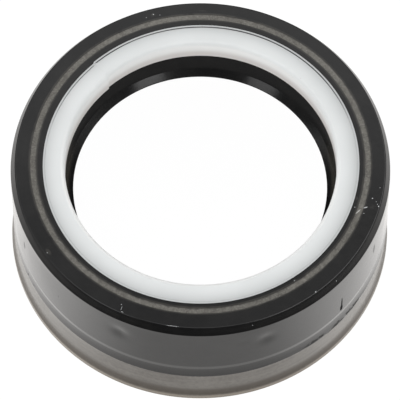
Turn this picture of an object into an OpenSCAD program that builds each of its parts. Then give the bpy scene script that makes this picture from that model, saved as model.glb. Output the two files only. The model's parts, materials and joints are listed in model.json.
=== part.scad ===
// Wide radial shaft seal. A rubber body is moulded over a stepped steel
// case, a white backup ring sits in its air-side face, and a garter
// spring holds the lip. The shaft runs along Z through the origin. The
// oil side is down, on the case's rim at Z = 0, and the air side is up.

/* [Fit] */
// Diameter of the shaft that the lip runs on
shaft_d = 45; // [42:0.5:50]
// Diameter of the housing bore that the seal presses into
housing_d = 65; // [59:0.5:72]
// Width of the seal along the shaft
seal_w = 25; // [22:0.5:32]

/* [Lip] */
// How much smaller the free lip is than the shaft, on the diameter
lip_interference = 1.1; // [0.6:0.1:1.6]
// Distance from the backup ring's seat down to the sealing edge
lip_reach = 4.9; // [4.4:0.1:6]
// Width of the flat on the sealing edge
lip_land = 0.3; // [0.2:0.1:0.6]
// Radial depth of the cone on the oil side of the edge
nose_t = 2.2; // [1.8:0.1:2.4]
// Angle of that cone from the shaft
oil_angle = 45; // [40:1:50]
// Angle of the cone on the air side of the edge, from the shaft
air_angle = 43; // [35:1:50]
// How far the heel's bore tapers in on its way down to the air-side cone
heel_taper = 0.23; // [0.1:0.01:0.4]
// Rubber between the sealing edge and the spring groove
lip_t = 1.75; // [1.5:0.05:2]
// Thickness of the leg that lets the lip follow the shaft
leg_t = 1.4; // [1.1:0.1:1.7]
// Rubber between the backup ring's seat and the hollow below it
heel_t = 1.2; // [0.8:0.1:1.5]
// Rounding of the hollow's upper corners
hollow_r = 0.6; // [0.3:0.1:0.9]

/* [Garter spring] */
// Outside diameter of the spring's close-wound coil
coil_d = 2.2; // [1.8:0.1:2.5]
// How far the spring sits above the sealing edge, toward the air side
spring_shift = 0.35; // [0.1:0.05:0.7]
// Clearance between the spring and its groove
spring_gap = 0.03; // [0.02:0.01:0.1]
// How far the keeper below the spring reaches past the coil's middle
keeper_out = 0.6; // [0.4:0.1:0.8]
// Least room between the spring and the coat inside the case
spring_room = 0.1; // [0.05:0.05:0.4]

/* [Backup ring] */
// Clearance between the ring and the shaft, on the radius
ring_gap = 0.73; // [0.4:0.01:1]
// Share of the spare radial depth that widens the ring; the rest thickens the rubber cover
ring_share = 0.34; // [0.1:0.01:0.6]
// Height of the ring
ring_h = 4.1; // [3.4:0.1:4.8]
// Clearance between the ring and its pocket, on the radius
ring_fit = 0.05; // [0.02:0.01:0.15]
// Rounding of the ring's inner edge on the air side
ring_round = 0.8; // [0.2:0.05:0.9]
// Distance of the fine witness groove from the ring's outer edge
witness_in = 0.42; // [0.2:0.01:0.6]
// Width of the witness groove
witness_w = 0.12; // [0.08:0.02:0.2]
// Depth of the witness groove
witness_t = 0.14; // [0.05:0.01:0.3]
// Chamfer on the ring's other edges
ring_edge = 0.08; // [0.04:0.01:0.15]
// Gap at the cut that lets the ring open when it is fitted
split_gap = 0.06; // [0.02:0.01:0.3]
// Direction of the cut round the shaft, from the X axis
split_angle = 133.5; // [0:0.5:359.5]

/* [Steel case] */
// Thickness of the case's sheet
sheet_t = 1; // [0.8:0.1:1.2]
// Rubber between the backup ring's pocket and the case
pocket_wall = 1; // [0.7:0.1:1.4]
// Height of the bare steel band at the oil side
band_h = 8.15; // [6:0.05:10]
// How far the bare band lies under the rubber, on the radius
band_gap = 0.1; // [0.05:0.05:0.3]
// Inside radius of the case's two bends, where the step between neck and band has room
bend_r = 0.6; // [0.3:0.1:0.9]
// How far the rim flares out past the bare band
flare_out = 0.35; // [0.1:0.05:0.5]
// Height of the flare
flare_h = 1.75; // [1.2:0.05:2.5]
// Height of the rim's straight edge below the flare
rim_h = 1.2; // [0.8:0.1:1.5]
// Rounding of the rim's outer corner
rim_round = 0.35; // [0.1:0.05:0.6]
// Chamfer on the rim's inner corner
rim_edge = 0.2; // [0.1:0.05:0.3]
// How far the case's upper end lies under the air-side face
end_recess = 0.05; // [0.02:0.01:0.2]
// Number of holes in the neck that the rubber flows through in the mould
flow_count = 8; // [4:1:12]
// Diameter of those holes
flow_d = 2.5; // [1.5:0.1:3]

/* [Rubber outside] */
// Least thickness of the cover over the neck
cover_min = 1.2; // [1.1:0.1:2]
// Height of the lead-in bevel at the air side
lead_h = 1.65; // [1:0.05:2.5]
// Radial depth of the lead-in bevel
lead_in = 0.85; // [0.4:0.05:1.2]
// Rounding of the edge between the face and the bevel
lead_r = 0.35; // [0.1:0.05:0.5]
// Height of the shallow groove above the bare band
groove_h = 3.75; // [3:0.05:5]
// Height of the groove's deepest line above the bare band
groove_low = 2.65; // [2:0.05:2.9]
// Depth of the groove
groove_t = 0.2; // [0.05:0.05:0.4]
// Height of the coat's skirt below the case's shoulder
skirt_h = 0.5; // [0.3:0.1:0.9]
// Thickness of the skirt's free end
skirt_end = 0.2; // [0.1:0.05:0.25]

/* [Hidden] */
$fn = 180;
land_r = housing_d / 2;
lip_r = (shaft_d - lip_interference) / 2;
coil_r = coil_d / 2;
spring_r = lip_r + lip_t + coil_r;
tight_pocket_r = spring_r + coil_r + spring_room;
spare_depth = land_r - cover_min - sheet_t - pocket_wall - tight_pocket_r;
pocket_r = tight_pocket_r + ring_share * spare_depth;
ring_in = shaft_d / 2 + ring_gap;
ring_out = pocket_r - ring_fit;
seat_z = seal_w - ring_h;
lip_z = seat_z - lip_reach;
spring_z = lip_z + spring_shift;
cone_r = ring_in - heel_taper;
cone_z = lip_z + (cone_r - lip_r) / tan(air_angle);
neck_in = pocket_r + pocket_wall;
neck_out = neck_in + sheet_t;
band_r = land_r - band_gap;
step_r = min(bend_r, (band_r - sheet_t - neck_out) / 2);
shoulder_z = band_h + step_r;
flare_z = rim_h + flare_h;
flare_r = (flare_h * flare_h + flare_out * flare_out) / (2 * flare_out);
flare_angle = asin(flare_h / flare_r);
rim_r = band_r + flare_out;
rim_in = band_r + flare_r - (flare_r + sheet_t) * cos(flare_angle);
lead_angle = atan(lead_in / lead_h);
flow_z = seat_z - heel_t / 2;
overcut = 1;

// Points of an arc in the section plane, where X is the radius and Y the height
function arc(centre, r, from, to, steps = 8) =
    [for (i = [0:steps])
        let (a = from + (to - from) * i / steps)
        centre + r * [cos(a), sin(a)]];

// Radius of the rubber's inner side at a height: the air-side cone, then the heel's bore
function inner_r(z) = z < cone_z
    ? lip_r + (z - lip_z) * tan(air_angle)
    : cone_r + (z - cone_z) * heel_taper / (seat_z - cone_z);

// One sheet drawn in two steps: rim, flare, bare band, shoulder and neck
module case_section(top) {
    band_bend = [band_r - step_r - sheet_t, band_h];
    neck_bend = [neck_out + step_r, shoulder_z + sheet_t + step_r];
    flare_centre = [band_r + flare_r, flare_z];
    polygon(concat(
        arc([rim_r - rim_round, rim_round], rim_round, -90, 0, 5),
        arc(flare_centre, flare_r, 180 + flare_angle, 180),
        arc(band_bend, step_r + sheet_t, 0, 90),
        arc(neck_bend, step_r, 270, 180),
        [[neck_out, top], [neck_in, top]],
        arc(neck_bend, step_r + sheet_t, 180, 270),
        arc(band_bend, step_r, 90, 0),
        arc(flare_centre, flare_r + sheet_t, 180, 180 + flare_angle),
        [[rim_in, rim_edge], [rim_in + rim_edge, 0]]
    ));
}

// Heel's bore, cones, keeper, spring groove and leg, from the seat down and back up
function lip_points() =
    let (
        nose_z = lip_z - lip_land - nose_t / tan(oil_angle),
        nose_r = lip_r + nose_t,
        groove_r = coil_r + spring_gap,
        keeper_r = spring_r + keeper_out,
        keeper_z = spring_z - coil_r,
        leg_z = spring_z + coil_r + 0.75 * coil_r,
        hollow_z = seat_z - heel_t,
        leg_top = inner_r(hollow_z - hollow_r) + leg_t
    )
    concat(
        [[ring_in, seat_z], [cone_r, cone_z], [lip_r, lip_z], [lip_r, lip_z - lip_land]],
        [[nose_r, nose_z], [spring_r - keeper_out / 4, nose_z]],
        [[keeper_r, nose_z + keeper_out], [keeper_r, keeper_z]],
        arc([spring_r, spring_z], groove_r, -70, -260, 20),
        [[inner_r(leg_z) + leg_t, leg_z]],
        arc([leg_top + hollow_r, hollow_z - hollow_r], hollow_r, 180, 90),
        arc([pocket_r - hollow_r, hollow_z - hollow_r], hollow_r, 90, 0)
    );

// Coat inside the case, down to the skirt that closes on the shoulder. The
// outline then runs along the middle of the sheet to the bare band
function coat_points() =
    let (
        skirt_z = shoulder_z - skirt_h,
        skirt_r = neck_out + step_r + sheet_t / 2
    )
    concat(
        arc([pocket_r + pocket_wall, skirt_z + pocket_wall], pocket_wall, 180, 270),
        [[skirt_r, shoulder_z - skirt_end], [skirt_r, shoulder_z + sheet_t / 2]],
        [[band_r - sheet_t / 2 - step_r, shoulder_z + sheet_t / 2]],
        [[band_r - sheet_t / 2, band_h], [land_r, band_h]]
    );

// Groove, press-fit land, lead-in bevel and face, up to the ring's pocket
function outside_points() =
    let (lead_tangent = lead_r * tan((90 - lead_angle) / 2))
    concat(
        [[land_r - groove_t, band_h + groove_low], [land_r, band_h + groove_h]],
        [[land_r, seal_w - lead_h]],
        arc([land_r - lead_in - lead_tangent, seal_w - lead_r], lead_r, lead_angle, 90),
        [[pocket_r, seal_w], [pocket_r, seat_z]]
    );

// The case up to a given height, with the flow holes through its neck
module case_shell(top) {
    difference() {
        rotate_extrude() case_section(top);
        for (i = [0:flow_count - 1])
            rotate([0, 90, i * 360 / flow_count])
            translate([-flow_z, 0, neck_in - overcut])
            cylinder(d = flow_d, h = sheet_t + 2 * overcut);
    }
}

// One moulding on both sides of the neck, joined through the flow holes
module rubber_body() {
    color("#1c1c1c")
    difference() {
        rotate_extrude() polygon(concat(lip_points(), coat_points(), outside_points()));
        case_shell(seal_w + overcut);
    }
}

module steel_case() {
    color("#6c6a62") case_shell(seal_w - end_recess);
}

// Turned section of the ring, with the witness groove in its upper face
module ring_section() {
    witness_r = ring_out - witness_in;
    polygon(concat(
        [[ring_in, seat_z + ring_edge], [ring_in + ring_edge, seat_z]],
        [[ring_out - ring_edge, seat_z], [ring_out, seat_z + ring_edge]],
        [[ring_out, seal_w - ring_edge], [ring_out - ring_edge, seal_w]],
        [[witness_r + witness_w / 2, seal_w], [witness_r, seal_w - witness_t]],
        [[witness_r - witness_w / 2, seal_w]],
        arc([ring_in + ring_round, seal_w - ring_round], ring_round, 90, 180)
    ));
}

// The ring is turned whole, then cut through once
module backup_ring() {
    color("#e6e8ea")
    difference() {
        rotate_extrude() ring_section();
        rotate([0, 0, split_angle])
        translate([ring_in - overcut, -split_gap / 2, seat_z - overcut])
        cube([ring_out - ring_in + 2 * overcut, split_gap, ring_h + 2 * overcut]);
    }
}

// Envelope of the close-wound coil, joined into a ring
module garter_spring() {
    color("#9a9ca0")
    rotate_extrude()
    translate([spring_r, spring_z])
    circle(r = coil_r);
}

rubber_body();
steel_case();
backup_ring();
garter_spring();
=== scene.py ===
# Looks of a wide radial shaft seal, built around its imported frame. Sizes are in millimetres, and MM turns
# them into metres. The shaft runs along Z and the oil side is down. Azimuths are in degrees round Z: 0
# faces the camera and 90 is to its right.
import json
import math

import bpy
from mathutils import Matrix, Vector, noise


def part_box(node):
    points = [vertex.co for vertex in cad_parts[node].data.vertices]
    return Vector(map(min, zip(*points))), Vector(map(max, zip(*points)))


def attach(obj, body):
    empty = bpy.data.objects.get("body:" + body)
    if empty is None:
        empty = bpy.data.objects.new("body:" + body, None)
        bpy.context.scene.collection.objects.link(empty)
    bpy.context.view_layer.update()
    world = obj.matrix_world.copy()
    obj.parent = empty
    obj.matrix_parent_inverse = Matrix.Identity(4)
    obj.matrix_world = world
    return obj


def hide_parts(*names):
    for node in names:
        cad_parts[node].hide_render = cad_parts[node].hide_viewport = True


MM = 0.001
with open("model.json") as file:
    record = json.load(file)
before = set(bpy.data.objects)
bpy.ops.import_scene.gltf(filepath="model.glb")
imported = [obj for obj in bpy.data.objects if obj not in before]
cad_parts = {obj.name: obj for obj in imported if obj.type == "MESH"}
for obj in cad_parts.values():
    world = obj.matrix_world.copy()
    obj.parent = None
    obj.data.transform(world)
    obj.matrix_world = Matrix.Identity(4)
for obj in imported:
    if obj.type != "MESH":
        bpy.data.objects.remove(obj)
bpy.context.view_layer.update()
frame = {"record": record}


def mount(name):
    return next(m for m in frame["record"]["mounts"] if m["name"] == name)


# Sizes that the frame gives
RING_LOW, RING_HIGH = [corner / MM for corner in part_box("backup_ring")]
RUBBER_LOW, RUBBER_HIGH = [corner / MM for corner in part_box("rubber_body")]
COIL_LOW, COIL_HIGH = [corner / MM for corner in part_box("garter_spring")]
FACE_Z = RUBBER_HIGH.z
SEAT_Z = RING_LOW.z
RING_OUT = RING_HIGH.x
BAND_H = RUBBER_LOW.z
COIL_R = (COIL_HIGH.z - COIL_LOW.z) / 2
SPRING_R = COIL_HIGH.x - COIL_R
SPRING_Z = COIL_LOW.z + COIL_R
LAND_R = mount("housing_fit")["dims"]["r_mm"]
LIP_R = mount("shaft_bore")["dims"]["r_mm"]
LIP_LAND = mount("shaft_bore")["dims"]["length_mm"]
LIP_Z = mount("shaft_bore")["pos_m"][2] / MM + LIP_LAND / 2

# The frame doesn't give the sizes from here on. The wall's groove, the rounding of the upper edge, the
# witness groove and the ring's cut differ a little from the solids, to follow the photograph

# Backup ring and its pocket
RING_IN = 23.23
RING_ROUND = 0.8
RING_EDGE = 0.08
RING_FIT = 0.05
WITNESS_IN = 0.48
WITNESS_W = 0.28
WITNESS_T = 0.18
WITNESS_FLANK = 0.02
WITNESS_R = RING_OUT - WITNESS_IN
SPLIT_GAP = 0.01
SPLIT_AZIMUTH = -136.5
POCKET_R = RING_OUT + RING_FIT
POCKET_WALL = 1.0

# Steel case
SHEET_T = 1.0
END_RECESS = 0.05
NECK_IN = POCKET_R + POCKET_WALL
NECK_OUT = NECK_IN + SHEET_T
BEND_R = 0.6
COVER_PROUD = 0.1
BAND_R = LAND_R - COVER_PROUD
SHOULDER_Z = BAND_H + BEND_R
RIM_PROUD = 0.25
RIM_R = LAND_R + RIM_PROUD
RIM_H = 1.2
RIM_ROUND = 0.35
RIM_EDGE = 0.2
RIM_THICKER = 0.03
FLARE_H = 1.75
FLARE_OUT = RIM_R - BAND_R
BAND_BEND = (BAND_R - BEND_R - SHEET_T, BAND_H)
NECK_BEND = (NECK_OUT + BEND_R, SHOULDER_Z + SHEET_T + BEND_R)
FLOW_COUNT = 8
FLOW_R = 1.25

# Rubber outside the case
LEAD_H = 1.65
LEAD_IN = 0.85
LEAD_R = 0.3
EDGE_Z = FACE_Z - LEAD_H
GROOVE_H = 3.6
GROOVE_LOW = 2.5
GROOVE_T = 0.115
GROOVE_ROUND = 1.2
SILL_H = 1.45
SILL_IN = 0.1
SILL_OUT = 0.04
SILL_ROUND = 20.0

# Rubber inside the case: coat, heel, lip and the spring's groove
SKIRT_H = 0.5
SKIRT_END = 0.2
HEEL_T = 1.2
HEEL_TAPER = 0.23
HOLLOW_R = 0.6
AIR_ANGLE = 43
OIL_ANGLE = 45
AIR_SLOPE = math.tan(math.radians(AIR_ANGLE))
CONE_R = RING_IN - HEEL_TAPER
CONE_Z = LIP_Z + (CONE_R - LIP_R) / AIR_SLOPE
NOSE_T = 2.2
LEG_T = 1.4
# The leg stands this many radii of the coil above the spring's middle
LEG_UP = 1.75
LEG_Z = SPRING_Z + LEG_UP * COIL_R
KEEPER_OUT = 0.6
SPRING_GAP = 0.03
# The groove wraps the spring between these angles, in this many steps
SPRING_WRAP = (-260, -70)
SPRING_STEPS = 20

# How finely the shapes are drawn: steps round the axis, the step along each outline, how close to each
# corner the next row lies, and the angle from which an edge is drawn sharp
SEGMENTS = 288
COVER_STEP = 0.6
BODY_STEP = 1.6
CASE_STEP = 1.2
RING_STEP = 0.8
CORNER_MARGIN = 0.05
SHARP_ANGLE = 30
PLUG_SIDES = 24
# How far a flow plug reaches past the sheet, where it is joined to the rubber and where it cuts the steel
PLUG_JOINS = 0.2
PLUG_CUTS = 0.4
# Two lengths closer than this are the same
SAME = 0.01


def arc(centre, radius, start, end, steps=8):
    """Points of an arc in the section plane, as (radius, height)."""
    angles = [math.radians(start + (end - start) * i / steps) for i in range(steps + 1)]
    return [(centre[0] + radius * math.cos(a), centre[1] + radius * math.sin(a)) for a in angles]


def blend(before, corner, after, radius, steps=5):
    """The corner between two straight lines, rounded to a radius."""
    here = Vector(corner)
    back = (Vector(before) - here).normalized()
    ahead = (Vector(after) - here).normalized()
    half = back.angle(ahead) / 2
    reach = radius / math.tan(half)
    centre = here + (back + ahead).normalized() * radius / math.sin(half)
    first = here + back * reach - centre
    last = here + ahead * reach - centre
    return [tuple(centre + first.slerp(last, i / steps) * radius) for i in range(steps + 1)]


def inner_r(z):
    """Radius of the rubber's inner side at a height: the air-side cone, then the heel's bore."""
    if z < CONE_Z:
        return LIP_R + (z - LIP_Z) * AIR_SLOPE
    return CONE_R + (z - CONE_Z) * HEEL_TAPER / (SEAT_Z - CONE_Z)


def cover_outline():
    """Rubber outside the steel neck: up the sheet, over the face and down the outside."""
    lead_angle = math.degrees(math.atan(LEAD_IN / LEAD_H))
    tangent = LEAD_R * math.tan(math.radians(90 - lead_angle) / 2)
    face_edge = arc((LAND_R - LEAD_IN - tangent, FACE_Z - LEAD_R), LEAD_R, 90, lead_angle)
    groove_top = (LAND_R, BAND_H + GROOVE_H)
    groove_bottom = (LAND_R - GROOVE_T, BAND_H + GROOVE_LOW)
    sill = (LAND_R - SILL_IN, BAND_H + SILL_H)
    cover_end = (LAND_R + SILL_OUT, BAND_H)
    return [
        *arc(BAND_BEND, BEND_R + SHEET_T, 0, 90),
        *arc(NECK_BEND, BEND_R, 270, 180),
        (NECK_OUT, FACE_Z),
        *face_edge,
        (LAND_R, EDGE_Z),
        *blend((LAND_R, FACE_Z), groove_top, groove_bottom, GROOVE_ROUND),
        *blend(groove_top, groove_bottom, sill, GROOVE_ROUND),
        *blend(groove_bottom, sill, cover_end, SILL_ROUND),
        cover_end,
    ]


def body_outline():
    """Rubber inside the steel neck: the coat, the heel, the lip and the spring's groove."""
    coat_z = SHOULDER_Z - SKIRT_H + POCKET_WALL
    skirt_r = NECK_OUT + BEND_R + SHEET_T / 2
    nose_z = LIP_Z - LIP_LAND - NOSE_T / math.tan(math.radians(OIL_ANGLE))
    keeper_r = SPRING_R + KEEPER_OUT
    hollow_z = SEAT_Z - HEEL_T - HOLLOW_R
    leg_top = inner_r(hollow_z) + LEG_T
    return [
        (POCKET_R, FACE_Z),
        (NECK_IN, FACE_Z),
        *arc(NECK_BEND, BEND_R + SHEET_T, 180, 270),
        (skirt_r, SHOULDER_Z),
        (skirt_r, SHOULDER_Z - SKIRT_END),
        *arc((POCKET_R + POCKET_WALL, coat_z), POCKET_WALL, 270, 180),
        *arc((POCKET_R - HOLLOW_R, hollow_z), HOLLOW_R, 0, 90),
        *arc((leg_top + HOLLOW_R, hollow_z), HOLLOW_R, 90, 180),
        (inner_r(LEG_Z) + LEG_T, LEG_Z),
        *arc((SPRING_R, SPRING_Z), COIL_R + SPRING_GAP, *SPRING_WRAP, SPRING_STEPS),
        (keeper_r, SPRING_Z - COIL_R),
        (keeper_r, nose_z + KEEPER_OUT),
        (SPRING_R - KEEPER_OUT / 4, nose_z),
        (LIP_R + NOSE_T, nose_z),
        (LIP_R, LIP_Z - LIP_LAND),
        (LIP_R, LIP_Z),
        (CONE_R, CONE_Z),
        (RING_IN, SEAT_Z),
        (POCKET_R, SEAT_Z),
    ]


def case_outline():
    """Sheet steel case: rounded rim, flare, bare band, bend, step and neck."""
    flare_r = (FLARE_OUT * FLARE_OUT + FLARE_H * FLARE_H) / 2 / FLARE_OUT
    flare_angle = math.degrees(math.asin(FLARE_H / flare_r))
    flare_centre = (BAND_R + flare_r, RIM_H + FLARE_H)
    rim_in = RIM_R - SHEET_T * math.cos(math.radians(flare_angle)) - RIM_THICKER
    return [
        *arc((RIM_R - RIM_ROUND, RIM_ROUND), RIM_ROUND, -90, 0),
        *arc(flare_centre, flare_r, 180 + flare_angle, 180),
        *arc(BAND_BEND, BEND_R + SHEET_T, 0, 90),
        *arc(NECK_BEND, BEND_R, 270, 180),
        (NECK_OUT, FACE_Z - END_RECESS),
        (NECK_IN, FACE_Z - END_RECESS),
        *arc(NECK_BEND, BEND_R + SHEET_T, 180, 270),
        *arc(BAND_BEND, BEND_R, 90, 0),
        *arc(flare_centre, flare_r + SHEET_T, 180, 180 + flare_angle),
        (rim_in, RIM_EDGE),
        (rim_in + RIM_EDGE, 0),
    ]


def ring_outline():
    """Backup ring, with its rounded inner edge and the fine witness groove."""
    return [
        (RING_IN, SEAT_Z + RING_EDGE),
        *arc((RING_IN + RING_ROUND, FACE_Z - RING_ROUND), RING_ROUND, 180, 90),
        (WITNESS_R - WITNESS_W / 2, FACE_Z),
        (WITNESS_R + WITNESS_W / 2 - WITNESS_FLANK, FACE_Z - WITNESS_T),
        (WITNESS_R + WITNESS_W / 2, FACE_Z),
        (RING_OUT - RING_EDGE, FACE_Z),
        (RING_OUT, FACE_Z - RING_EDGE),
        (RING_OUT, SEAT_Z + RING_EDGE),
        (RING_OUT - RING_EDGE, SEAT_Z),
        (RING_IN + RING_EDGE, SEAT_Z),
    ]


def with_rows(outline, step):
    """The closed outline with extra points: close to each corner, and every step between."""
    points = []
    for here, after in zip(outline, outline[1:] + outline[:1]):
        points.append(here)
        length = math.dist(here, after)
        if length < 4 * CORNER_MARGIN:
            continue
        inner = length - 2 * CORNER_MARGIN
        count = max(1, round(inner / step))
        for i in range(count + 1):
            share = (CORNER_MARGIN + inner * i / count) / length
            points.append(tuple(a + (b - a) * share for a, b in zip(here, after)))
    return points


def at(azimuth, radius, z):
    """A place on the seal, in metres."""
    a = math.radians(azimuth)
    return Vector((radius * math.sin(a), -radius * math.cos(a), z)) * MM


def turned(outline, shape, start=0.0, sweep=360.0):
    """Vertices and faces of a closed outline turned about Z. A sweep under 360 gets end caps."""
    whole = sweep >= 360
    columns = SEGMENTS if whole else SEGMENTS + 1
    rows = len(outline)
    vertices = []
    faces = []
    for i in range(columns):
        azimuth = start + sweep * i / SEGMENTS
        vertices += [at(azimuth, *shape(azimuth, radius, z)) for radius, z in outline]
    for i in range(SEGMENTS):
        a = i * rows
        b = (i + 1) % columns * rows
        for j in range(rows):
            k = (j + 1) % rows
            faces.append((a + j, a + k, b + k, b + j))
    if not whole:
        faces.append(tuple(reversed(range(rows))))
        faces.append(tuple(SEGMENTS * rows + j for j in range(rows)))
    return vertices, faces


def shade(mesh):
    """Smooth shading whose sharp corners stay sharp."""
    mesh.shade_smooth()
    mesh.set_sharp_from_angle(angle=math.radians(SHARP_ANGLE))


def add_mesh(name, vertices, faces):
    mesh = bpy.data.meshes.new(name)
    mesh.from_pydata(vertices, [], faces)
    mesh.validate()
    shade(mesh)
    piece = bpy.data.objects.new(name, mesh)
    bpy.context.scene.collection.objects.link(piece)
    return piece


def dress(piece, node, material):
    """Puts a new piece in the place of a CAD node."""
    piece.data.materials.append(material)
    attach(piece, "root")
    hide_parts(node)


def ramp(value, start, end):
    """0 at the start, 1 at the end and smooth between. The start may be the higher of the two."""
    share = max(0.0, min(1.0, (value - start) / (end - start)))
    return share * share * (3 - 2 * share)


def facing(azimuth, toward=0.0):
    """1 toward an azimuth, -1 away from it, and a cosine between."""
    return math.cos(math.radians(azimuth - toward))


# Soft dents in the outer wall: azimuth, height, half width, half height, depth
DENTS = [
    (-25.0, 19.0, 0.85, 1.0, 0.28),
    (20.1, 18.75, 0.85, 1.0, 0.25),
    (12.4, 19.6, 0.35, 0.4, 0.05),
]
# Slight waves in the wall, and how far they take to ease in from its lower and from its upper end
WAVE = 0.03
WAVE_LENGTH = 9.0
WAVE_LOW = 2
WAVE_HIGH = 1
# Stretches of the cover's lower edge that carry thin flash: from azimuth, to azimuth, how far down. It
# eases in over some degrees, and its raggedness has so many swings in a millimetre
FLASH = [(33, 58, 0.25), (-68, -46, 0.16), (150, 185, 0.3)]
FLASH_EASES = 4
FLASH_SWINGS = 0.9
# The face's outer edge is a little off centre, toward the camera
EDGE_OFF = 0.13
# The top of the wall lies a little further in at the back, from this far below the upper edge. That
# comes in between two cosines of the azimuth
BACK_IN = 0.08
BACK_DOWN = 6
BACK_FADES = (0.25, -0.35)
# The neck's end is a little off centre toward one azimuth. That eases in up the pocket, less a margin at
# its bottom and its top
NECK_OFF = 0.08
NECK_TOWARD = 150
NECK_MARGIN = 0.5
# What lies this close to the neck counts as its side, and what lies this far outside is the cover
NECK_NEAR = 0.1
COVER_CLEAR = 0.5


def neck_shape(azimuth, radius, z):
    """The neck's end out of true, for the steel and for the rubber on both its sides."""
    if NECK_IN - NECK_NEAR < radius < NECK_OUT + NECK_NEAR:
        up = ramp(z, SEAT_Z + NECK_MARGIN, FACE_Z - NECK_MARGIN)
        radius += NECK_OFF * facing(azimuth, NECK_TOWARD) * up
    return radius, z


def cover_shape(azimuth, radius, z):
    """Dents and slight waves in the wall, its top out of true, and flash along the lower edge."""
    radius, z = neck_shape(azimuth, radius, z)
    place = at(azimuth, radius, z) / MM
    turn = azimuth - 360 if azimuth > 180 else azimuth
    if radius > NECK_OUT + COVER_CLEAR:
        off = EDGE_OFF * facing(azimuth) * ramp(z, EDGE_Z, FACE_Z)
        radius += off * ramp(radius, NECK_OUT + COVER_CLEAR, LAND_R - LEAD_IN)
        back = BACK_IN * ramp(facing(azimuth), *BACK_FADES)
        radius -= back * ramp(z, EDGE_Z - BACK_DOWN, EDGE_Z) * ramp(z, FACE_Z, EDGE_Z)
    if radius > BAND_R + COVER_PROUD / 2 and z < EDGE_Z:
        for middle, height, half_w, half_h, depth in DENTS:
            across = math.radians(turn - middle) * LAND_R / half_w
            up = (z - height) / half_h
            radius -= depth * math.exp(-(across * across + up * up) / 2)
        inside = ramp(z, BAND_H, BAND_H + WAVE_LOW) * ramp(z, EDGE_Z, EDGE_Z - WAVE_HIGH)
        radius += WAVE * noise.noise(place / WAVE_LENGTH) * inside
    if z < BAND_H + SAME:
        for low, high, drop in FLASH:
            inside = ramp(turn, low, low + FLASH_EASES) * ramp(turn, high, high - FLASH_EASES)
            z -= drop * inside * max(0.0, 0.5 + noise.noise(place * FLASH_SWINGS))
    return radius, z


# The backup ring lies a little out of true. Most of it presses outward, and one end at its cut stands
# further in than the other. EASES is how many degrees from the cut an end takes to come into line
RING_PRESSES = 0.16
RING_END_IN = 0.4
RING_END_EASES = 120
RING_OTHER_END_IN = 0.2
RING_OTHER_EASES = 75
# Its bore is a little wide, off to the right, and tighter at the same end
BORE_PRESSES = 0.05
BORE_OFF = 0.04
BORE_END_IN = 0.24
BORE_EASES = 70
# Share of its depth that the witness groove loses away from the back, between two cosines of the
# azimuth, and the degrees from the cut at which it starts and is full
WITNESS_NEAR = 0.75
WITNESS_FADES = (-0.85, -0.2)
WITNESS_STARTS = (0.3, 1.5)


def ring_shift(azimuth):
    """How far the ring's outer side and its bore stand out at an azimuth."""
    turn = (azimuth - SPLIT_AZIMUTH) % 360
    one_end = ramp(turn, RING_END_EASES, 0)
    other_end = ramp(turn, 360 - RING_OTHER_EASES, 360)
    outside = RING_PRESSES - RING_END_IN * one_end - RING_OTHER_END_IN * other_end
    bore = BORE_PRESSES + BORE_OFF * facing(azimuth, 90)
    return outside, bore - BORE_END_IN * ramp(turn, BORE_EASES, 0)


def ring_shape(azimuth, radius, z):
    """The ring out of true, with a witness groove that is deep only at the back."""
    outside, bore = ring_shift(azimuth)
    if z > FACE_Z - WITNESS_T - SAME and abs(radius - WITNESS_R) < WITNESS_W:
        turn = (azimuth - SPLIT_AZIMUTH) % 360
        share = 1 - WITNESS_NEAR * ramp(facing(azimuth), *WITNESS_FADES)
        z = FACE_Z - (FACE_Z - z) * share * ramp(min(turn, 360 - turn), *WITNESS_STARTS)
    return radius + bore + (outside - bore) * ramp(radius, RING_IN, RING_OUT), z


# The lip's edge lies this far off toward one azimuth, and is this much tighter all round. Both fade out
# this far up the cone and this far out from the edge
LIP_OFF = 0.2
LIP_TOWARD = -165
LIP_TIGHTER = 0.06
LIP_UP = 1.2
LIP_OUT = 0.2
# The pocket's wall follows the ring's outer side, this far outside it
POCKET_CLEAR = 0.01


def body_shape(azimuth, radius, z):
    """The lip's edge out of true, and the pocket's wall that follows the ring."""
    radius, z = neck_shape(azimuth, radius, z)
    if z < SEAT_Z - HEEL_T and radius < RING_IN:
        shift = LIP_OFF * facing(azimuth, LIP_TOWARD) - LIP_TIGHTER
        radius += shift * ramp(z, LIP_Z + LIP_UP, LIP_Z) * ramp(radius, RING_IN, LIP_R + LIP_OUT)
    if z > SEAT_Z - SAME and abs(radius - POCKET_R) < SAME:
        radius += ring_shift(azimuth)[0] - RING_FIT + POCKET_CLEAR
    return radius, z


# The rim is pushed a little to the left and to the front, and is wider from side to side
RIM_PUSH = (-0.13, -0.08)
RIM_WIDER = 0.1


def case_shape(azimuth, radius, z):
    """The rim and the neck's end out of true."""
    radius, z = neck_shape(azimuth, radius, z)
    if z < BAND_H:
        right = facing(azimuth, 90)
        push = RIM_PUSH[0] * right - RIM_PUSH[1] * facing(azimuth) + RIM_WIDER * right**4
        radius += push * ramp(z, BAND_H, 0)
    return radius, z


def flow_plugs(longer):
    """Rounds that fill the neck's flow holes and pass through both its sides."""
    z = SEAT_Z - HEEL_T / 2
    vertices = []
    faces = []
    for n in range(FLOW_COUNT):
        turn = Matrix.Rotation(math.radians(360 * n / FLOW_COUNT), 3, "Z")
        first = len(vertices)
        last = first + PLUG_SIDES
        for x in (NECK_IN - longer, NECK_OUT + longer):
            for i in range(PLUG_SIDES):
                a = math.tau * i / PLUG_SIDES
                point = Vector((x, FLOW_R * math.cos(a), z + FLOW_R * math.sin(a)))
                vertices.append(turn @ point * MM)
        for i in range(PLUG_SIDES):
            k = (i + 1) % PLUG_SIDES
            faces.append((first + i, first + k, last + k, last + i))
        faces.append(tuple(reversed(range(first, last))))
        faces.append(tuple(range(last, last + PLUG_SIDES)))
    return vertices, faces


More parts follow.
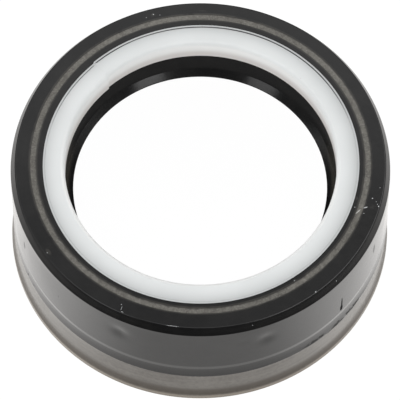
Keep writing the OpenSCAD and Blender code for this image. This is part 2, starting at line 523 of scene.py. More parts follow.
def combine(piece, operation, longer):
    """Joins the flow plugs to a piece, or cuts them out of it."""
    plugs = add_mesh("flow_plugs", *flow_plugs(longer))
    modifier = piece.modifiers.new(operation.lower(), "BOOLEAN")
    modifier.operation = operation
    modifier.solver = "MANIFOLD"
    modifier.object = plugs
    bpy.context.view_layer.update()
    evaluated = piece.evaluated_get(bpy.context.evaluated_depsgraph_get())
    mesh = bpy.data.meshes.new_from_object(evaluated)
    piece.modifiers.clear()
    piece.data = mesh
    mesh.materials.clear()
    shade(mesh)
    bpy.data.objects.remove(plugs)


def make_rubber(material):
    vertices, faces = turned(with_rows(cover_outline(), COVER_STEP), cover_shape)
    body, body_faces = turned(with_rows(body_outline(), BODY_STEP), body_shape)
    first = len(vertices)
    faces += [tuple(first + i for i in face) for face in body_faces]
    piece = add_mesh("moulded_rubber", vertices + body, faces)
    combine(piece, "UNION", PLUG_JOINS)
    dress(piece, "rubber_body", material)


def make_case(material):
    piece = add_mesh("pressed_case", *turned(with_rows(case_outline(), CASE_STEP), case_shape))
    combine(piece, "DIFFERENCE", PLUG_CUTS)
    dress(piece, "steel_case", material)


def make_ring(material):
    gap = math.degrees(SPLIT_GAP / RING_OUT)
    outline = with_rows(ring_outline(), RING_STEP)
    vertices, faces = turned(outline, ring_shape, SPLIT_AZIMUTH + gap / 2, 360 - gap)
    piece = add_mesh("white_backup_ring", vertices, faces)
    dress(piece, "backup_ring", material)


# Spring wire, and its pitch as a share of the wire
WIRE_D = 0.42
WIRE_PITCH = 1.02
WIRE_SIDES = 8
STEPS_PER_TURN = 12


def make_spring(material):
    """Close-wound coil bent into a ring: a tube swept along a helix round the groove."""
    coil_mid = COIL_R - WIRE_D / 2
    turns = round(math.tau * (SPRING_R - coil_mid) / (WIRE_D * WIRE_PITCH))
    count = turns * STEPS_PER_TURN
    vertices = []
    faces = []
    for i in range(count):
        around = math.tau * i / count
        wind = around * turns
        radial = Vector((math.cos(around), math.sin(around), 0))
        tangent = Vector((-math.sin(around), math.cos(around), 0))
        out = radial * math.cos(wind) + Vector((0, 0, math.sin(wind)))
        centre = radial * SPRING_R + Vector((0, 0, SPRING_Z)) + out * coil_mid
        for j in range(WIRE_SIDES):
            a = math.tau * j / WIRE_SIDES
            offset = (out * math.cos(a) + tangent * math.sin(a)) * WIRE_D / 2
            vertices.append((centre + offset) * MM)
    for i in range(count):
        a = i * WIRE_SIDES
        b = (i + 1) % count * WIRE_SIDES
        for j in range(WIRE_SIDES):
            k = (j + 1) % WIRE_SIDES
            faces.append((a + j, b + j, b + k, a + k))
    piece = add_mesh("garter_coil", vertices, faces)
    dress(piece, "garter_spring", material)


# How far a full bump stands out
BUMP_DEPTH = 0.1


class Graph:
    """Adds nodes to a material or world and joins them."""

    def __init__(self, tree):
        self.tree = tree

    def feed(self, node, inputs):
        """Sets a node's inputs, or joins them where a value is another node's socket."""
        for key, value in inputs.items():
            if isinstance(value, bpy.types.NodeSocket):
                self.tree.links.new(value, node.inputs[key])
            else:
                node.inputs[key].default_value = value
        return node

    def node(self, kind, inputs, **settings):
        made = self.tree.nodes.new(kind)
        for key, value in settings.items():
            setattr(made, key, value)
        return self.feed(made, inputs)

    def shader(self, kind, inputs):
        return self.node(kind, inputs).outputs[0]

    def math(self, operation, *values):
        made = self.node("ShaderNodeMath", dict(enumerate(values)), operation=operation)
        return made.outputs[0]

    def times(self, first, *others):
        """The product of two or more values."""
        for value in others:
            first = self.math("MULTIPLY", first, value)
        return first

    def vector(self, operation, output, inputs):
        return self.node("ShaderNodeVectorMath", inputs, operation=operation).outputs[output]

    def span(self, value, low, high, to_low=0.0, to_high=1.0, smooth=True):
        """value mapped from low..high to to_low..to_high, clamped."""
        kind = "SMOOTHSTEP" if smooth else "LINEAR"
        inputs = {0: value, 1: low, 2: high, 3: to_low, 4: to_high}
        return self.node("ShaderNodeMapRange", inputs, interpolation_type=kind).outputs[0]

    def mix(self, share, first, second):
        """A colour between two."""
        inputs = {0: share, 6: first, 7: second}
        return self.node("ShaderNodeMix", inputs, data_type="RGBA").outputs[2]

    def noise(self, place, scale, detail=3.0, roughness=0.5):
        inputs = {"Vector": place, "Scale": scale, "Detail": detail, "Roughness": roughness}
        return self.node("ShaderNodeTexNoise", inputs).outputs[0]

    def bump(self, height, strength):
        inputs = {"Strength": strength, "Distance": BUMP_DEPTH * MM, "Height": height}
        return self.node("ShaderNodeBump", inputs).outputs[0]

    def place(self):
        """The place on the seal, in millimetres."""
        metres = self.node("ShaderNodeTexCoord", {}).outputs["Object"]
        return self.vector("SCALE", "Vector", {0: metres, "Scale": 1 / MM})

    def parts(self, vector):
        return tuple(self.node("ShaderNodeSeparateXYZ", {0: vector}).outputs)

    def radius(self, place):
        """Distance from the shaft's axis."""
        flat = self.vector("MULTIPLY", "Vector", {0: place, 1: (1, 1, 0)})
        return self.vector("LENGTH", "Value", {0: flat})

    def toward(self, place, azimuth):
        """How far out a place lies toward an azimuth."""
        return self.vector("DOT_PRODUCT", "Value", {0: place, 1: at(azimuth, 1, 0).normalized()})


def new_material(name):
    material = bpy.data.materials.new(name)
    material.use_nodes = True
    return material, Graph(material.node_tree), material.node_tree.nodes["Principled BSDF"]


def grey(value):
    return (value, value, value, 1)


def marks(graph, place, table):
    """Mask of small marks. Each is an oval at an azimuth, radius and height, with half its length
    round the seal, half its length outward, half its height and its turn about the vertical."""
    mask = 0.0
    for azimuth, radius, z, along, outward, high, turn in table:
        inputs = {
            "Vector": place,
            "Location": at(azimuth, radius, z) / MM,
            "Rotation": (0, 0, math.radians(azimuth + turn)),
            "Scale": (along, outward, high),
        }
        local = graph.node("ShaderNodeMapping", inputs, vector_type="TEXTURE").outputs[0]
        far = graph.vector("LENGTH", "Value", {0: local})
        mask = graph.math("MAXIMUM", mask, graph.span(far, 0.5, 1.1, 1.0, 0.0))
    return mask


# Each row of the tables of marks: azimuth, radius, height, half sizes along, outward and up, turn

# Scratches that cross from the rubber's face over the end of the steel
SCRATCHES = [
    (70.3, 28.45, FACE_Z, 0.7, 0.1, 0.2, -25),
    (72.5, 29.4, FACE_Z, 0.45, 0.11, 0.2, -55),
]
# Pale specks and strokes on the rubber: dust, with painted highlights of a nick at the face's outer edge
# near azimuth -25 and of a streak along that edge near -8.5
DUST_AND_HIGHLIGHTS = [
    (76.4, 30.12, FACE_Z, 0.13, 0.13, 0.2, 0),
    (74.1, 31.47, FACE_Z, 0.16, 0.10, 0.2, 40),
    (74.7, 31.21, FACE_Z, 0.09, 0.09, 0.2, 0),
    (80.7, 31.0, FACE_Z, 0.08, 0.08, 0.2, 0),
    (93.6, 28.97, FACE_Z, 0.10, 0.10, 0.2, 0),
    (37.9, 31.60, FACE_Z, 0.17, 0.13, 0.3, 20),
    (34.8, 27.77, FACE_Z, 0.10, 0.07, 0.2, 0),
    (-55.9, 31.26, FACE_Z, 0.09, 0.07, 0.3, 0),
    (15.8, 32.0, 24.2, 0.14, 0.14, 0.2, 0),
    (45.6, 32.1, 24.2, 0.06, 0.06, 0.2, 0),
    (-24.6, 31.60, FACE_Z, 0.28, 0.05, 0.3, 0),
    (-25.3, 31.0, FACE_Z, 0.05, 0.45, 0.2, 6),
    (-25.9, 30.4, FACE_Z, 0.07, 0.10, 0.2, 0),
    (-8.5, 31.72, FACE_Z, 1.3, 0.025, 0.3, 0),
    (71.5, 27.66, FACE_Z, 0.09, 0.08, 0.2, 0),
    (75.5, 30.87, FACE_Z, 0.08, 0.07, 0.2, 0),
    (70.2, 29.5, FACE_Z, 0.2, 0.03, 0.2, -60),
    (-164.4, 30.35, FACE_Z, 0.10, 0.10, 0.2, 0),
    (-161.8, 30.1, FACE_Z, 0.07, 0.07, 0.2, 0),
    (-166.4, 29.95, FACE_Z, 0.06, 0.06, 0.2, 0),
]
# Faint pale haze on the face
HAZE = [
    (75.2, 27.5, FACE_Z, 0.4, 0.3, 0.2, 0),
    (73.5, 30.4, FACE_Z, 0.7, 0.5, 0.2, 20),
    (70.8, 29.5, FACE_Z, 0.35, 0.2, 0.2, 0),
    (73.6, 30.5, FACE_Z, 1.0, 0.1, 0.2, -73),
    (-56.0, 31.0, FACE_Z, 0.8, 0.4, 0.2, 0),
    (20.0, 30.9, FACE_Z, 0.6, 0.3, 0.2, 0),
    (-164.2, 30.3, FACE_Z, 0.45, 0.35, 0.2, 0),
    (-176.7, 30.0, FACE_Z, 0.3, 0.25, 0.2, 0),
    (179.2, 29.95, FACE_Z, 0.9, 0.1, 0.2, 0),
]
# Dark cuts in the wall: the long one on the right in two parts, a hair line and two nicks on the left
CUTS = [
    (47.9, LAND_R, 14.6, 0.2, 0.6, 2.4, 0),
    (47.8, LAND_R, 13.1, 0.4, 0.6, 1.2, 0),
    (-48.0, LAND_R, 17.0, 0.03, 0.6, 0.5, 0),
    (-66.1, LAND_R, 8.8, 0.28, 0.6, 0.2, 0),
    (-62.0, LAND_R, 8.6, 0.22, 0.6, 0.16, 0),
]
# Dull smudges on the wall
SMUDGES = [
    (65.7, LAND_R, 18.5, 0.5, 0.6, 1.8, 0),
    (-67.6, LAND_R, 18.0, 0.4, 0.6, 1.5, 0),
]

RUBBER_DARK = (0.0045, 0.0045, 0.0047, 1)
RUBBER_PALE = (0.0075, 0.0073, 0.0072, 1)
SMEAR_COLOUR = (0.06, 0.057, 0.05, 1)
CONE_SHEEN_COLOUR = (0.036, 0.033, 0.028, 1)
DUST_AND_HIGHLIGHT_COLOUR = (0.62, 0.63, 0.64, 1)
# The smear comes in between two distances from the middle of the steel's end and between two heights. It
# lies further out at the back, by this share of how far back it is
SMEAR_FADES = (0.9, 0.5)
SMEAR_HEIGHTS = (FACE_Z - 0.3, FACE_Z)
SMEAR_TILT = 0.0035
# Where the painted sheen on the two sides of the lip's cone comes in: heights going up, radii going inward,
# and the shares of its radius that a place lies to a side
SHEEN_HEIGHTS = (LIP_Z + 0.4, LIP_Z + 1.2)
SHEEN_RADII = (RING_IN + 0.1, RING_IN)
SHEEN_ASIDE = (0.93, 1.0)
# Middle of the stretch where the cover's lower edge is ragged and dull, how far toward it that begins
# and is full, the lowest that the edge lies, the height over which it wanders, and that of its soft rim
FLASH_AZIMUTH = 46
FLASH_FROM = (31.1, 32.2)
FLASH_LOWEST = BAND_H - 0.3
FLASH_WANDERS = 1.8
FLASH_SOFT = 0.4
# Roughness of the rubber, from its shiniest places to its dullest, what full wear adds, and how worn a
# smudge is
RUBBER_ROUGH = (0.13, 0.21)
WEAR_ROUGH = 0.6
SMUDGE_WEAR = 0.35


def rubber_colour(graph, place, mottle):
    """Black, smeared grey along the steel's end, with haze, a painted sheen on the cone's two sides, pale
    specks and painted highlights of a nick and of a streak at the face's edge.
    """
    x, y, height = graph.parts(place)
    far = graph.radius(place)
    base = graph.mix(graph.span(mottle, 0.35, 0.7), RUBBER_DARK, RUBBER_PALE)
    off = graph.math("SUBTRACT", far, (NECK_IN + NECK_OUT) / 2)
    off = graph.math("ABSOLUTE", graph.math("MULTIPLY_ADD", y, -SMEAR_TILT, off))
    on_face = graph.span(height, *SMEAR_HEIGHTS)
    smear = graph.times(graph.span(off, *SMEAR_FADES), on_face, graph.span(mottle, 0.3, 0.6, 0.2, 0.75))
    haze = graph.times(marks(graph, place, HAZE), graph.span(mottle, 0.4, 0.65, 0.0, 0.4))
    base = graph.mix(graph.math("MAXIMUM", smear, haze), base, SMEAR_COLOUR)
    # Painted sheen on the two sides of the lip's cone and heel
    aside = graph.span(graph.math("DIVIDE", graph.math("ABSOLUTE", x), far), *SHEEN_ASIDE)
    in_bore = graph.span(far, *SHEEN_RADII)
    above_lip = graph.span(height, *SHEEN_HEIGHTS)
    base = graph.mix(graph.times(aside, in_bore, above_lip), base, CONE_SHEEN_COLOUR)
    # Pale specks of dust, and the painted highlights of the nick and of the edge's streak
    dust_and_highlights = graph.times(marks(graph, place, SCRATCHES + DUST_AND_HIGHLIGHTS), graph.span(mottle, 0.2, 0.55, 0.35, 1.0))
    return graph.mix(dust_and_highlights, base, DUST_AND_HIGHLIGHT_COLOUR)


def rubber_cuts(graph, place):
    """Cuts in the wall and the ragged stretch of the cover's lower edge."""
    height = graph.parts(place)[2]
    edge = graph.math("MULTIPLY_ADD", graph.noise(place, 0.7, 4, 0.7), FLASH_WANDERS, FLASH_LOWEST)
    under = graph.span(graph.math("SUBTRACT", edge, height), -FLASH_SOFT, 0.0)
    stretch = graph.span(graph.toward(place, FLASH_AZIMUTH), *FLASH_FROM)
    patchy = graph.span(graph.noise(place, 0.5, 2), 0.4, 0.6, 0.0, 0.6)
    return graph.math("MAXIMUM", marks(graph, place, CUTS), graph.times(under, stretch, patchy))


def rubber_material():
    """Smooth moulded black rubber with a gloss, dull where it is cut or smudged."""
    material, graph, shader = new_material("black_rubber")
    place = graph.place()
    colour = rubber_colour(graph, place, graph.noise(place, 0.42, 4, 0.6))
    cuts = rubber_cuts(graph, place)
    worn = graph.math("MAXIMUM", cuts, graph.times(marks(graph, place, SMUDGES), SMUDGE_WEAR))
    gloss = graph.span(graph.noise(place, 0.08, 3), 0.3, 0.7, *RUBBER_ROUGH)
    inputs = {
        "Base Color": colour,
        "Roughness": graph.math("MULTIPLY_ADD", worn, WEAR_ROUGH, gloss),
        "Specular IOR Level": graph.span(cuts, 0.0, 1.0, 0.5, 0.05),
        "IOR": 1.5,
        "Normal": graph.bump(graph.noise(place, 1.1, 3), 0.07),
    }
    graph.feed(shader, inputs)
    return material


# Places where the rubber runs over the inner edge of the steel's end
NOTCHES = [
    (-142.4, 28.1, FACE_Z, 0.16, 0.25, 0.3, 0),
    (156.9, 28.1, FACE_Z, 0.16, 0.22, 0.3, 0),
    (-42.3, 28.1, FACE_Z, 0.14, 0.25, 0.3, 0),
    (-47.1, 28.1, FACE_Z, 0.12, 0.2, 0.3, 0),
]
# Painted shadow on the bare band, just below the cover's lower edge
UNDER_COVER_SHADOWS = [
    (28.3, BAND_R, 7.7, 0.2, 0.5, 0.15, 0),
    (-58.0, BAND_R, 7.6, 5.0, 0.9, 0.12, 0),
]

STEEL_DARK = (0.098, 0.092, 0.081, 1)
STEEL_PALE = (0.195, 0.186, 0.167, 1)
SPECKLE_COLOUR = (0.3, 0.29, 0.265, 1)
PIT_COLOUR = (0.04, 0.038, 0.034, 1)
END_TINT = (0.02, 0.018, 0, 1)
SHADE_AND_RUBBER_COLOUR = (0.008, 0.008, 0.008, 1)
SCRATCH_COLOUR = (0.6, 0.6, 0.58, 1)
RIM_REFLECTION_COLOUR = (0.33, 0.285, 0.23, 1)
FLARE_SHADE_COLOUR = (0.07, 0.061, 0.05, 1)
BAND_TINT = (0.035, 0.012, 0, 1)
# Heights between which, going down, the flare's painted shade comes in and goes again, and the rim's painted
# reflection comes in
FLARE_SHADE_COMES = (3.9, 2.4)
FLARE_SHADE_GOES = (1.1, 1.6)
RIM_REFLECTION_COMES = (1.9, 1.2)
# Roughness of the steel, from its shiniest places to its dullest, the weight of its clear coat, and what
# the flare loses of that
STEEL_ROUGH = (0.30, 0.46)
STEEL_COAT = 0.3
FLARE_COAT_LOSS = 0.25
# Shares of fine mottle, broad cloud and level streaks in the steel's grain
MOTTLE_SHARE = 0.55
CLOUD_SHARE = 0.2
STREAK_SHARE = 0.25
# How strongly the rim's painted reflection, the flare's painted shade, and the end's and the band's colours
# show
RIM_REFLECTION_SHARE = 0.75
FLARE_SHADE_SHARE = 0.75
END_SHARE = 0.08
BAND_SHARE = 0.2
# How far the edges of the painted shade on the steel's end wander, and how much wider the end looks at the
# back
END_WANDERS = 0.12
END_TILT = 0.0035
# Radii between which the painted shade at the end's rounded inner edge fades out and that at its outer edge
# comes in, with how much of the steel shows unshaded there, and heights between which a place comes to count
# as the end
END_INNER = (NECK_IN - 0.15, NECK_IN + 0.22, 0.3, 1.0)
END_OUTER = (NECK_OUT - 0.15, NECK_OUT + 0.1, 1.0, 0.4)
END_HEIGHTS = (FACE_Z - 1, FACE_Z - 0.5)


def end_shade_and_rubber(graph, place, on_end):
    """Painted shade toward the rounded edges of the steel's end, ragged, with rubber over its inner edge at
    the notches, and painted shadow on the band below the cover's edge.
    """
    y = graph.parts(place)[1]
    ragged = graph.span(graph.noise(place, 1.1, 3), 0.3, 0.7, -END_WANDERS, END_WANDERS, smooth=False)
    far = graph.math("ADD", graph.radius(place), ragged)
    inner = graph.span(far, *END_INNER)
    outer = graph.span(graph.math("MULTIPLY_ADD", y, -END_TILT, far), *END_OUTER)
    # The end is painted in shade toward both its edges, and rubber covers it at the notches
    bare = graph.math("SUBTRACT", graph.times(inner, outer), marks(graph, place, NOTCHES))
    cover = graph.times(graph.math("SUBTRACT", 1.0, bare), on_end)
    return graph.math("MAXIMUM", cover, marks(graph, place, UNDER_COVER_SHADOWS))


def steel_material():
    """Dull phosphated steel: mottled, speckled and pitted on its end, with painted shade toward the end's
    edges and under the cover's edge, painted shade on the flare and a painted reflection on the rim.
    """
    material, graph, shader = new_material("phosphated_steel")
    place = graph.place()
    height = graph.parts(place)[2]
    mottle = graph.noise(place, 1.5, 5, 0.65)
    cloud = graph.noise(place, 0.2, 3)
    streaks = graph.noise(graph.vector("MULTIPLY", "Vector", {0: place, 1: (0.06, 0.06, 1.3)}), 1.0, 3)
    grain = graph.math("ADD", graph.times(mottle, MOTTLE_SHARE), graph.times(cloud, CLOUD_SHARE))
    grain = graph.math("ADD", grain, graph.times(streaks, STREAK_SHARE))
    on_end = graph.span(height, *END_HEIGHTS)
    speckle = graph.span(graph.noise(place, 3.2, 2, 0.6), 0.52, 0.68, 0.0, 0.5)
    pits = graph.span(graph.noise(place, 2.6, 2, 0.6), 0.48, 0.34, 0.0, 0.4)
    # Where the rim's painted reflection and the flare's painted shade lie, by height
    rim = graph.span(graph.math("MULTIPLY_ADD", cloud, 0.6, height), *RIM_REFLECTION_COMES)
    flare = graph.times(graph.span(height, *FLARE_SHADE_COMES), graph.span(height, *FLARE_SHADE_GOES))

    base = graph.mix(graph.span(grain, 0.36, 0.64), STEEL_DARK, STEEL_PALE)
    base = graph.mix(graph.times(speckle, on_end), base, SPECKLE_COLOUR)
    base = graph.mix(graph.times(pits, on_end), base, PIT_COLOUR)
    base = graph.mix(graph.times(on_end, END_SHARE), base, END_TINT)
    # Painted shade at the end's edges and under the cover's edge, and rubber at the notches
    base = graph.mix(end_shade_and_rubber(graph, place, on_end), base, SHADE_AND_RUBBER_COLOUR)
    base = graph.mix(marks(graph, place, SCRATCHES), base, SCRATCH_COLOUR)
    # Painted reflection on the rim, then painted shade on the flare
    base = graph.mix(graph.times(rim, RIM_REFLECTION_SHARE), base, RIM_REFLECTION_COLOUR)
    base = graph.mix(graph.times(flare, FLARE_SHADE_SHARE), base, FLARE_SHADE_COLOUR)
    base = graph.mix(graph.math("MULTIPLY_ADD", on_end, -BAND_SHARE, BAND_SHARE), base, BAND_TINT)
    inputs = {
        "Base Color": base,
        "Roughness": graph.span(mottle, 0.3, 0.7, *STEEL_ROUGH),
        "Metallic": 0.2,
        "Coat Weight": graph.math("MULTIPLY_ADD", flare, -FLARE_COAT_LOSS, STEEL_COAT),
        "Coat Roughness": 0.2,
        "Normal": graph.bump(grain, 0.25),
    }
    graph.feed(shader, inputs)
    return material


# Brownish specks on the white ring
SPECKS = [
    (133.6, 23.9, FACE_Z, 0.10, 0.10, 0.4, 0),
    (138.9, 23.25, 24.0, 0.09, 0.2, 0.09, 0),
    (137.0, 23.25, 24.4, 0.07, 0.2, 0.07, 0),
    (119.4, 23.6, FACE_Z, 0.07, 0.07, 0.4, 0),
]

RING_COOL = (0.765, 0.785, 0.785, 1)
RING_PALE = (0.795, 0.815, 0.815, 1)
EDGE_LIGHT_COLOUR = (0.925, 0.93, 0.92, 1)
BORE_SHADE_COLOUR = (0.69, 0.665, 0.645, 1)
WITNESS_SHADE = (0.05, 0.05, 0.05, 1)
SPECK_COLOUR = (0.35, 0.25, 0.22, 1)
# Painted shade: the ring lets light into the black rubber round it, so its colour is darkened outward from
# CLEAR_R: with the square of the distance, and by DIM at FADE_R beyond it
CLEAR_R = 23.8
FADE_R = 2.8
DIM = 0.27
# Past the witness groove it is a little less dim, and toward the back a little darker still, as painted
# shadow
DIM_PAST_GROOVE = (WITNESS_R + 0.1, WITNESS_R + 0.3, 1.0, 0.85)
SHADOW_AT_BACK = (-10, 20, 0.0, 0.03)
# The rounded edge has painted light between these radii and further in, but at the back not at its top. The
# bore has painted shade that comes in down between two heights
EDGE_LIGHT_RADII = (RING_IN + 0.9, RING_IN + 0.4)
TOP_HEIGHTS = (FACE_Z - 0.9, FACE_Z - 0.2)
BACK_FROM = (-8, 10)
BORE_SHADE_HEIGHTS = (FACE_Z - 1.3, FACE_Z - 3.3)
# The witness groove is shaded from these heights down and from these radii outward
SHADE_HEIGHTS = (FACE_Z - 0.02, FACE_Z - 0.08)
SHADE_RADII = (WITNESS_R, WITNESS_R + 0.08, 0.0, 0.9)
# Toward this azimuth its shade reaches further in, by the last figure
DRAWN_AZIMUTH = SPLIT_AZIMUTH + 25
DRAWN_IN = (19.0, 23.5, 0.0, 0.22)
# How strongly the specks show
SPECK_SHARE = 0.35


def ring_painted_shade(graph, place):
    """Painted shade on the ring: most near its outside, where the rubber behind it dims it, and a little at
    the back as painted shadow.
    """
    far = graph.radius(place)
    y = graph.parts(place)[1]
    outward = graph.math("DIVIDE", graph.math("SUBTRACT", far, CLEAR_R), FADE_R)
    outward = graph.math("MAXIMUM", outward, 0.0)
    dim = graph.times(outward, outward, DIM, graph.span(far, *DIM_PAST_GROOVE))
    return graph.math("ADD", dim, graph.span(y, *SHADOW_AT_BACK))


def ring_material():
    """Waxy, translucent fluoroplastic, painted with shade outward and at the back, with painted light at its
    rounded inner edge and painted shade down its bore and in the witness groove.
    """
    material, graph, shader = new_material("white_fluoroplastic")
    place = graph.place()
    height = graph.parts(place)[2]
    far = graph.radius(place)
    base = graph.mix(graph.span(graph.noise(place, 0.12, 2), 0.3, 0.7), RING_COOL, RING_PALE)
    # Painted shade from the rubber round the ring, and painted shadow at the back
    base = graph.mix(ring_painted_shade(graph, place), base, (0, 0, 0, 1))

    # Painted light on the rounded inner edge, and painted shade down the bore
    upper = graph.span(height, *TOP_HEIGHTS)
    at_back = graph.span(graph.parts(place)[1], *BACK_FROM)
    lower = graph.math("SUBTRACT", 1.0, graph.times(upper, at_back))
    bore = graph.times(graph.span(far, *EDGE_LIGHT_RADII), lower)
    base = graph.mix(bore, base, EDGE_LIGHT_COLOUR)
    base = graph.mix(graph.times(bore, graph.span(height, *BORE_SHADE_HEIGHTS)), base, BORE_SHADE_COLOUR)

    in_groove = graph.span(height, *SHADE_HEIGHTS)
    flank = graph.math("ADD", far, graph.span(graph.toward(place, DRAWN_AZIMUTH), *DRAWN_IN))
    witness = graph.times(in_groove, graph.span(flank, *SHADE_RADII))
    base = graph.mix(witness, base, WITNESS_SHADE)
    specks = graph.times(marks(graph, place, SPECKS), SPECK_SHARE)
    inputs = {
        "Base Color": graph.mix(specks, base, SPECK_COLOUR),
        "Roughness": 0.38,
        "IOR": 1.36,
        "Normal": graph.bump(graph.noise(place, 1.5, 3), 0.06),
    }
    graph.feed(shader, inputs)
    return material


WIRE_DARK = (0.42, 0.41, 0.39, 1)
WIRE_PALE = (0.6, 0.59, 0.57, 1)


def spring_material():
    """Bright drawn wire."""
    material, graph, shader = new_material("spring_wire")
    tint = graph.mix(graph.noise(graph.place(), 0.4, 3), WIRE_DARK, WIRE_PALE)
    graph.feed(shader, {"Base Color": tint, "Metallic": 1.0, "Roughness": 0.32})
    return material


# The photograph's camera: it looks down on the upper face from 800 mm away, with a long lens
CAMERA_DISTANCE = 800.0
CAMERA_ELEVATION = 61.20
FOCAL_PIXELS = 4684.0
FACE_CENTRE_PIXEL = (200.4, 161.9)
PICTURE = 400
SENSOR = 36.0


def make_camera():
    elevation = math.radians(CAMERA_ELEVATION)
    back = Vector((0, -math.cos(elevation), math.sin(elevation)))
    drop = math.atan((PICTURE / 2 - FACE_CENTRE_PIXEL[1]) / FOCAL_PIXELS)
    pan = math.atan((FACE_CENTRE_PIXEL[0] - PICTURE / 2) / FOCAL_PIXELS)
    aim = elevation + drop
    direction = Vector((-math.tan(pan), math.cos(aim), -math.sin(aim)))
    data = bpy.data.cameras.new("camera")
    data.sensor_width = SENSOR
    data.lens = FOCAL_PIXELS / PICTURE * SENSOR
    data.clip_start = 0.01
    data.clip_end = 20
    camera = bpy.data.objects.new("camera", data)
    camera.location = (Vector((0, 0, FACE_Z)) + back * CAMERA_DISTANCE) * MM
    camera.rotation_euler = direction.to_track_quat("-Z", "Y").to_euler()
    bpy.context.scene.collection.objects.link(camera)
    bpy.context.scene.camera = camera


FLOOR_R = 2000.0
FLOOR_SIDES = 64
# Colour of the floor's reflection
MIRRORED_COLOUR = (1, 0.983, 0.965, 1)
# Its strength along the distance from the axis, as two distances and the strengths there: fading far out,
# painted shadow of the seal at the rim's foot, a little more strength further on, and rising out of the
# painted shadow under the seal
FAR_FADES = (50, 105, 1.0, 0.08)
FOOT_SHADOW = (32.6, 33.5, 0.3, 0.94)
NEAR_GAINS = (37, 44, 0.0, 0.06)
UNDER_RISES = (26, 32.8)
# Its strength in the painted shadow under the seal from front to back, and its share toward both sides
INSIDE = (11, 17, 0.18, 0.08)
SIDES = (0.3, 0.9, 0.84, 1.36)
# What it loses behind the seal, and between which distances back and which distances out that comes in
BEHIND_LOSS = 0.3
BEHIND_BACK = (15, 30)
BEHIND_OUT = (44, 48)
# What the camera sees of the floor: light of its own, and a matt share that shows the seal's shadow
SEEN_GLOW = 0.98
SEEN_MATT = 0.06


def floor_mirrored(graph, place):
    """Strength of the floor in polished surfaces: painted shadow of the seal under and close to it, stronger
    at the sides.
    """
    x, y, _ = graph.parts(place)
    far = graph.radius(place)
    fade = graph.span(far, *FAR_FADES)
    # Painted shadow of the seal at the rim's foot and under it
    shadowed = graph.math("ADD", graph.span(far, *FOOT_SHADOW), graph.span(far, *NEAR_GAINS))
    shadowed = graph.math("MINIMUM", shadowed, graph.span(far, *UNDER_RISES, graph.span(y, *INSIDE), 1.0))
    aside = graph.math("DIVIDE", graph.math("ABSOLUTE", x), far)
    sides = graph.span(aside, *SIDES)
    behind = graph.times(graph.span(y, *BEHIND_BACK), graph.span(far, *BEHIND_OUT))
    return graph.times(fade, shadowed, sides, graph.math("MULTIPLY_ADD", behind, -BEHIND_LOSS, 1.0))


def make_floor():
    """A white table. Polished surfaces see it bright close by, with painted shadow round and under the seal,
    and fading with distance.
    """
    ring = [at(360 * i / FLOOR_SIDES, FLOOR_R, 0) for i in range(FLOOR_SIDES)]
    mesh = bpy.data.meshes.new("floor")
    mesh.from_pydata(ring, [], [tuple(range(FLOOR_SIDES))])
    floor = bpy.data.objects.new("floor", mesh)
    bpy.context.scene.collection.objects.link(floor)
    material, graph, shader = new_material("white_table")
    graph.tree.nodes.remove(shader)
    mesh.materials.append(material)
    path = graph.node("ShaderNodeLightPath", {}).outputs
    shine = floor_mirrored(graph, graph.place())
    mirrored = graph.shader("ShaderNodeEmission", {"Color": MIRRORED_COLOUR, "Strength": shine})
    lit = graph.shader("ShaderNodeEmission", {"Strength": 1.0})
    glow = graph.shader("ShaderNodeEmission", {"Strength": SEEN_GLOW})
    matt = graph.shader("ShaderNodeBsdfDiffuse", {"Color": grey(SEEN_MATT)})
    seen = graph.shader("ShaderNodeAddShader", {0: glow, 1: matt})
    surface = graph.shader("ShaderNodeMixShader", {0: path["Is Camera Ray"], 1: lit, 2: seen})
    surface = graph.shader("ShaderNodeMixShader", {0: path["Is Glossy Ray"], 1: surface, 2: mirrored})
    output = next(n for n in graph.tree.nodes if n.type == "OUTPUT_MATERIAL")
    graph.feed(output, {"Surface": surface})


# Strength of the world for matt surfaces
EVEN = 0.42
# What polished surfaces see, by the parts of a direction: a ceiling that brightens upward, a bright patch
# round one direction, and a flank to the right and to the left, above some height
CEILING = (0.55, 0.95, 0.12, 0.43)
OVERHEAD = (0, -0.309, 0.951)
PATCH = (0.93, 0.985, 0.0, 0.9)
RIGHT_FLANK = (0.35, 0.6, 0.0, 2.6)
LEFT_FLANK = (-0.35, -0.6, 0.0, 1.3)
FLANKS_ABOVE = (0.42, 0.55)


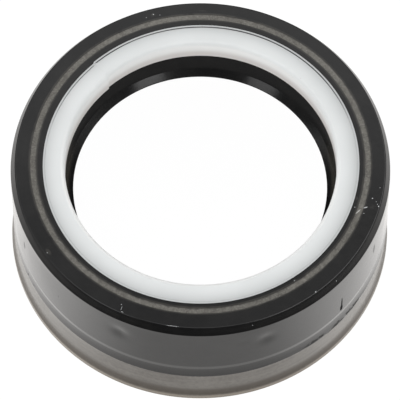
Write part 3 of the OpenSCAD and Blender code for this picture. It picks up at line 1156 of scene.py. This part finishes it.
def make_world():
    """White to the camera, even light for matt surfaces, a dim studio for polished ones."""
    world = bpy.data.worlds.new("studio")
    bpy.context.scene.world = world
    world.use_nodes = True
    graph = Graph(world.node_tree)
    path = graph.node("ShaderNodeLightPath", {}).outputs
    away = graph.node("ShaderNodeTexCoord", {}).outputs["Generated"]
    x, _, z = graph.parts(away)
    ceiling = graph.span(z, *CEILING)
    patch = graph.span(graph.vector("DOT_PRODUCT", "Value", {0: away, 1: OVERHEAD}), *PATCH)
    flanks = graph.math("ADD", graph.span(x, *RIGHT_FLANK), graph.span(x, *LEFT_FLANK))
    flanks = graph.times(flanks, graph.span(z, *FLANKS_ABOVE))
    studio = graph.math("ADD", graph.math("ADD", ceiling, patch), flanks)
    shown = graph.times(path["Is Glossy Ray"], graph.math("SUBTRACT", studio, EVEN))
    strength = graph.math("MAXIMUM", graph.math("ADD", shown, EVEN), path["Is Camera Ray"])
    background = next(n for n in graph.tree.nodes if n.type == "BACKGROUND")
    graph.feed(background, {"Color": grey(1), "Strength": strength})


LAMP_DISTANCE = 700.0
# Lamps: name, azimuth, elevation, width, height, radiance, whether polished surfaces show it
LAMPS = [
    ("left_lamp", -43.5, 28, 240, 300, 1.5, True),
    ("right_lamp", 35, 28, 235, 300, 2.1, True),
    ("back_lamp", 180, 50, 900, 290, 0.6, True),
    ("front_fill", 0, 30, 1000, 400, 0.6, False),
    ("left_fill", -75, 28, 700, 400, 2.3, False),
    ("right_fill", 75, 28, 700, 400, 1.6, False),
    ("back_fill", 180, 48, 1000, 300, 1.1, False),
]


def make_lights():
    """Rectangular lamps that look at the seal."""
    for name, azimuth, elevation, width, height, radiance, glossy in LAMPS:
        data = bpy.data.lights.new(name, "AREA")
        data.shape = "RECTANGLE"
        data.size = width * MM
        data.size_y = height * MM
        data.energy = radiance * math.pi * data.size * data.size_y
        up = math.radians(elevation)
        out = math.cos(up) * LAMP_DISTANCE
        lamp = bpy.data.objects.new(name, data)
        lamp.location = at(azimuth, out, FACE_Z + math.sin(up) * LAMP_DISTANCE)
        aim = Vector((0, 0, FACE_Z * MM)) - lamp.location
        lamp.rotation_euler = aim.to_track_quat("-Z", "Y").to_euler()
        lamp.visible_camera = False
        lamp.visible_glossy = glossy
        bpy.context.scene.collection.objects.link(lamp)


bpy.context.scene.view_settings.view_transform = "Standard"
make_camera()
make_world()
make_lights()
make_floor()
make_rubber(rubber_material())
make_ring(ring_material())
make_spring(spring_material())
make_case(steel_material())
